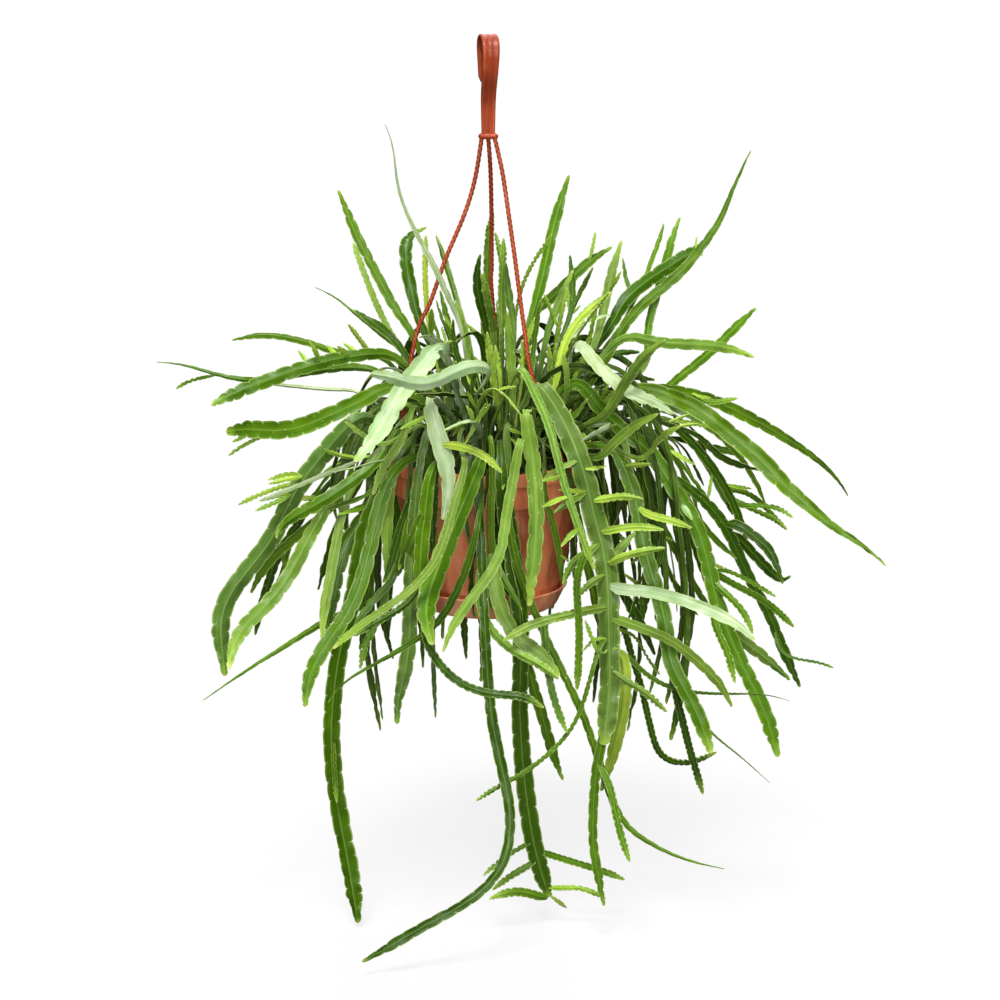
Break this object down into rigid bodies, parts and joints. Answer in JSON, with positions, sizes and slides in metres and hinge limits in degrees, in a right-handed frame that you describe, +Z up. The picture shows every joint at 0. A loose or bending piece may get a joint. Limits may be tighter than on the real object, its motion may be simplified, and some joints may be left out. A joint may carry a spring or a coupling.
{
  "type": "hanging pot plant",
  "caption": "Forest cactus of flat toothed strap stems, spilling from a tapered plastic pot with a saucer, hung by twisted strands from a crook.",
  "frame": {"origin": "middle of the flat under the hook's crown, where the pot hangs", "axes": "+Z up, +X to the right and -Y to the front of the plant"},
  "size_m": [0.5535, 0.3519, 0.6673],
  "materials": {
    "terracotta_plastic": "satin moulded terracotta plastic",
    "hanger_plastic": "glossy red-brown moulded plastic",
    "soil": "moist peat with bark",
    "stem_green": "waxy green plant tissue",
    "stem_dark": "waxy dark green plant tissue",
    "stem_lime": "waxy yellow-green plant tissue",
    "stem_pale": "waxy pale green plant tissue",
    "stem_blue_green": "waxy blue-green plant tissue"
  },
  "bodies": {
    "root": {"hanger_hook": "hanger_plastic", "pot": "terracotta_plastic", "saucer": "terracotta_plastic", "soil": "soil", "stems_back_1": "stem_green", "stems_back_2": "stem_green", "stems_back_3": "stem_green", "stems_back_4": "stem_green", "stems_back_5": "stem_green", "stems_back_6": "stem_green", "stems_back_7": "stem_green", "stems_crown_1": "stem_lime", "stems_crown_2": "stem_lime", "stems_crown_3": "stem_blue_green", "stems_crown_4": "stem_green", "stems_crown_5": "stem_green", "stems_crown_6": "stem_dark", "stems_front_1": "stem_blue_green", "stems_front_10": "stem_lime", "stems_front_12": "stem_pale", "stems_front_2": "stem_lime", "stems_front_3": "stem_dark", "stems_front_8": "stem_green", "stems_left_1": "stem_green", "stems_left_2": "stem_green", "stems_left_3": "stem_green", "stems_left_4": "stem_green", "stems_left_6": "stem_green", "stems_left_7": "stem_green", "stems_left_8": "stem_pale", "stems_low_left_2": "stem_green", "stems_low_left_3": "stem_lime", "stems_right_1": "stem_lime", "stems_right_2": "stem_lime", "stems_right_3": "stem_green", "stems_right_4": "stem_green", "stems_right_5": "stem_green", "stems_right_6": "stem_green", "stems_right_7": "stem_dark", "stems_upper_left_1": "stem_green", "stems_upper_left_2": "stem_pale", "stems_upper_left_3": "stem_dark", "stems_upper_left_4": "stem_green", "stems_upper_right_1": "stem_dark", "stems_upper_right_2": "stem_green", "stems_upper_right_3": "stem_green", "strand_back": "hanger_plastic", "strand_left": "hanger_plastic", "strand_right": "hanger_plastic"}
  },
  "joints": []
}
